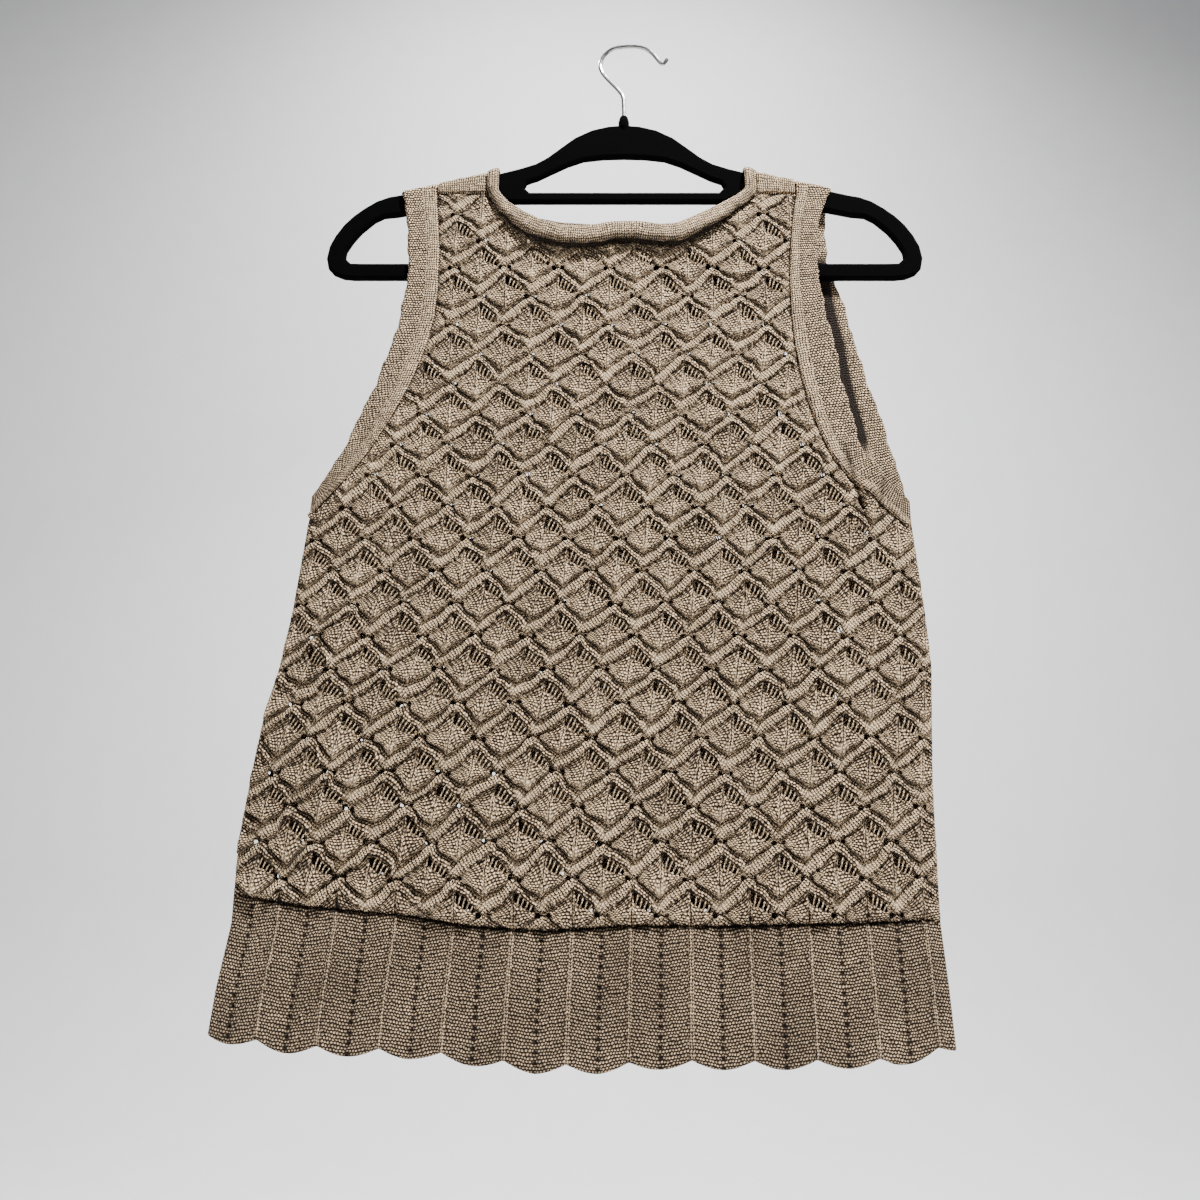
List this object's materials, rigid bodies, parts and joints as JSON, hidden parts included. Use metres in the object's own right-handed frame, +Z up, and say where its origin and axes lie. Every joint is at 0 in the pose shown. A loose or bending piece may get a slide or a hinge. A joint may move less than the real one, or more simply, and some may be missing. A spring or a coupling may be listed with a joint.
{
  "type": "openwork knit top on a clothes hanger",
  "caption": "Sleeveless openwork knit top with a rolled neck, plain armhole bands and a scalloped hem, hanging flat on a velvet-flocked clothes hanger.",
  "frame": {"origin": "the inner crest of the hanger's hook, where it rests on a peg or rail", "axes": "+Z up along the hang, +X to the viewer's right facing the front of the top, +Y from the front of the top to its back"},
  "size_m": [0.489, 0.0315, 0.7492],
  "materials": {
    "lace_knit": "soft matte cotton knit",
    "band_knit": "soft matte cotton knit, plain stitches",
    "velvet_flock": "black velvet flock",
    "hook_wire": "bright plated wire"
  },
  "bodies": {
    "root": {"front_panel": "lace_knit", "back_panel": "lace_knit", "neck_band_front": "band_knit", "neck_band_back": "band_knit", "armhole_band_left_front": "band_knit", "armhole_band_left_back": "band_knit", "armhole_band_right_front": "band_knit", "armhole_band_right_back": "band_knit", "shoulder_strip_left": "band_knit", "shoulder_strip_right": "band_knit", "hem_band_front": "band_knit", "hem_band_back": "band_knit", "hanger_body": "velvet_flock", "hanger_hook": "hook_wire"}
  },
  "joints": []
}
